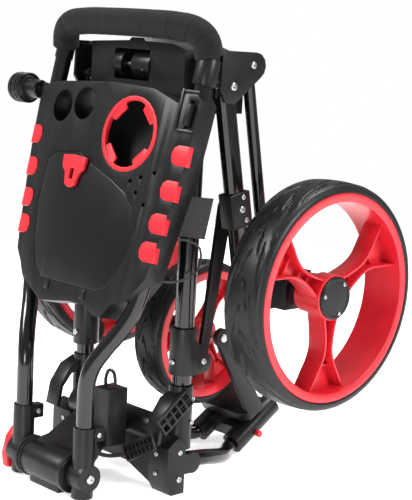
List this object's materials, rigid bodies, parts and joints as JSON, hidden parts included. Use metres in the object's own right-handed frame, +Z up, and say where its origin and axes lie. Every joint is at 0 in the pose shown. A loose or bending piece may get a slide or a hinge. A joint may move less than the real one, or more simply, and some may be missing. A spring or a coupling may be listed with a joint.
{
  "type": "folding golf push cart",
  "caption": "Three-wheel golf push cart folded for storage, with a console, cup holder, foam grip handle, spoked wheels and linked folding legs.",
  "frame": {"origin": "middle of the folded cart's bounding box, on the floor", "axes": "+Z up, +X to the cart's right, -Y the side the console faces"},
  "size_m": [0.49, 0.434, 0.6171],
  "materials": {
    "black_plastic": "satin",
    "black_paint": "gloss",
    "red_plastic": "satin",
    "lid_plastic": "gloss",
    "foam": "matte",
    "tyre_foam": "matte",
    "zinc_steel": "bright",
    "webbing": "matte"
  },
  "bodies": {
    "frame": {"hub_block": "black_plastic", "catch_pin": "zinc_steel", "frame_tube_right": "black_paint", "frame_tube_left": "black_paint", "lower_bracket_right": "black_plastic", "lower_bracket_left": "black_plastic", "cross_member": "black_plastic", "hinge_barrel": "black_plastic", "cradle_arm_right": "black_plastic", "cradle_arm_left": "black_plastic", "cradle_strap": "black_plastic", "bungee_cord": "webbing", "buckle_box": "black_plastic"},
    "handle": {"handle_socket_right": "black_plastic", "handle_socket_left": "black_plastic", "handle_tube_right": "black_paint", "handle_tube_left": "black_paint", "handle_bow": "black_paint", "handle_grip": "foam", "handle_collar": "black_plastic", "console_front": "black_plastic", "console_back": "black_plastic", "side_pads_right": "red_plastic", "side_pads_left": "red_plastic", "cup_ring": "red_plastic", "strap_flap": "webbing", "brake_cable": "webbing"},
    "lock_knob": {"lock_knob": "red_plastic"},
    "lid": {"storage_lid": "lid_plastic"},
    "latch": {"lid_latch": "red_plastic"},
    "brake_lever": {"brake_lever": "black_plastic"},
    "umbrella_holder": {"umbrella_holder": "black_plastic"},
    "front_frame": {"front_tube_right": "black_paint", "front_tube_left": "black_paint", "swivel_head": "black_plastic"},
    "fork": {"wheel_fork": "black_plastic", "front_axle": "zinc_steel"},
    "front_wheel": {"front_tyre": "tyre_foam", "front_rim": "red_plastic"},
    "swivel_lock": {"swivel_lock": "red_plastic"},
    "leg_right": {"leg_tube_right": "black_paint", "leg_sleeve_right": "black_plastic"},
    "link_right": {"link_rod_right": "black_paint"},
    "bracket_right": {"wheel_bracket_right": "black_plastic", "rear_axle_right": "zinc_steel"},
    "strut_right": {"side_strut_right": "black_plastic"},
    "slider_right": {"slider_right": "black_plastic"},
    "rear_wheel_right": {"rear_tyre_right": "tyre_foam", "rear_rim_right": "red_plastic", "hub_cap_right": "black_plastic"},
    "leg_left": {"leg_tube_left": "black_paint", "leg_sleeve_left": "black_plastic"},
    "link_left": {"link_rod_left": "black_paint"},
    "bracket_left": {"wheel_bracket_left": "black_plastic", "rear_axle_left": "zinc_steel"},
    "strut_left": {"side_strut_left": "black_plastic"},
    "slider_left": {"slider_left": "black_plastic"},
    "rear_wheel_left": {"rear_tyre_left": "tyre_foam", "rear_rim_left": "red_plastic", "hub_cap_left": "black_plastic"}
  },
  "joints": [
    {"name": "handle_hinge", "type": "hinge", "parent": "frame", "child": "handle", "pos_m": [0, -0.192, 0.03], "axis": [1, 0, 0], "range_deg": [0, 90]},
    {"name": "lock_knob_turn", "type": "hinge", "parent": "handle", "child": "lock_knob", "pos_m": [-0.085, -0.192, 0.03], "axis": [1, 0, 0], "range_deg": [0, 90]},
    {"name": "lid_hinge", "type": "hinge", "parent": "handle", "child": "lid", "pos_m": [0, -0.17765, 0.26421], "axis": [1, 0, 0], "range_deg": [0, 95]},
    {"name": "latch_slide", "type": "slide", "parent": "lid", "child": "latch", "axis": [0, -0.2233, -0.9748], "range_m": [0, 0.005]},
    {"name": "brake_lever_turn", "type": "hinge", "parent": "handle", "child": "brake_lever", "pos_m": [0.147, -0.12768, 0.48102], "axis": [1, 0, 0], "range_deg": [0, 20]},
    {"name": "umbrella_fold", "type": "hinge", "parent": "handle", "child": "umbrella_holder", "pos_m": [-0.1786, -0.10433, 0.50235], "axis": [0, 0.9748, -0.2233], "range_deg": [0, 90]},
    {"name": "leg_fold_right", "type": "hinge", "parent": "frame", "child": "leg_right", "pos_m": [0.129, -0.045, 0.528], "axis": [1, 0, 0], "range_deg": [0, 60]},
    {"name": "link_turn_right", "type": "hinge", "parent": "frame", "child": "link_right", "pos_m": [0.129, -0.006, 0.554], "axis": [1, 0, 0], "range_deg": [0, 60]},
    {"name": "bracket_turn_right", "type": "hinge", "parent": "leg_right", "child": "bracket_right", "pos_m": [0.129, 0.00698, 0.28346], "axis": [1, 0, 0], "range_deg": [-60, 0]},
    {"name": "strut_turn_right", "type": "hinge", "parent": "leg_right", "child": "strut_right", "pos_m": [0.11, -0.01173, 0.3715], "axis": [1, 0, 0], "range_deg": [-99, 0]},
    {"name": "slider_slide_right", "type": "slide", "parent": "frame", "child": "slider_right", "axis": [0, 0, 1], "range_m": [0, 0.17]},
    {"name": "rear_wheel_spin_right", "type": "hinge", "parent": "bracket_right", "child": "rear_wheel_right", "pos_m": [0.213, 0.068, 0.2665], "axis": [1, 0, 0], "continuous": true},
    {"name": "leg_fold_left", "type": "hinge", "parent": "frame", "child": "leg_left", "pos_m": [-0.129, -0.045, 0.528], "axis": [1, 0, 0], "range_deg": [0, 60]},
    {"name": "link_turn_left", "type": "hinge", "parent": "frame", "child": "link_left", "pos_m": [-0.129, -0.006, 0.554], "axis": [1, 0, 0], "range_deg": [0, 60]},
    {"name": "bracket_turn_left", "type": "hinge", "parent": "leg_left", "child": "bracket_left", "pos_m": [-0.129, 0.00698, 0.28346], "axis": [1, 0, 0], "range_deg": [-60, 0]},
    {"name": "strut_turn_left", "type": "hinge", "parent": "leg_left", "child": "strut_left", "pos_m": [-0.11, -0.01173, 0.3715], "axis": [1, 0, 0], "range_deg": [-99, 0]},
    {"name": "slider_slide_left", "type": "slide", "parent": "frame", "child": "slider_left", "axis": [0, 0, 1], "range_m": [0, 0.17]},
    {"name": "rear_wheel_spin_left", "type": "hinge", "parent": "bracket_left", "child": "rear_wheel_left", "pos_m": [-0.213, 0.068, 0.2665], "axis": [1, 0, 0], "continuous": true},
    {"name": "front_fold", "type": "hinge", "parent": "frame", "child": "front_frame", "pos_m": [0, -0.055, 0.038], "axis": [1, 0, 0], "range_deg": [-90, 0]},
    {"name": "front_swivel", "type": "hinge", "parent": "front_frame", "child": "fork", "pos_m": [0, 0.145, 0.04048], "axis": [0, -0.5402, 0.8415], "continuous": true},
    {"name": "front_wheel_spin", "type": "hinge", "parent": "fork", "child": "front_wheel", "pos_m": [0, 0.05716, 0.17731], "axis": [1, 0, 0], "continuous": true},
    {"name": "swivel_lock_pull", "type": "slide", "parent": "front_frame", "child": "swivel_lock", "axis": [1, 0, 0], "range_m": [0, 0.006]}
  ],
  "couplings": [
    {"joint": "link_turn_right", "follows": "leg_fold_right", "ratio": 1},
    {"joint": "bracket_turn_right", "follows": "leg_fold_right", "ratio": -1},
    {"joint": "strut_turn_right", "follows": "leg_fold_right", "ratio": -1.638},
    {"joint": "slider_slide_right", "follows": "leg_fold_right", "m_per_rad": 0.1598},
    {"joint": "leg_fold_left", "follows": "leg_fold_right", "ratio": 1},
    {"joint": "link_turn_left", "follows": "leg_fold_right", "ratio": 1},
    {"joint": "bracket_turn_left", "follows": "leg_fold_right", "ratio": -1},
    {"joint": "strut_turn_left", "follows": "leg_fold_right", "ratio": -1.638},
    {"joint": "slider_slide_left", "follows": "leg_fold_right", "m_per_rad": 0.1598}
  ]
}
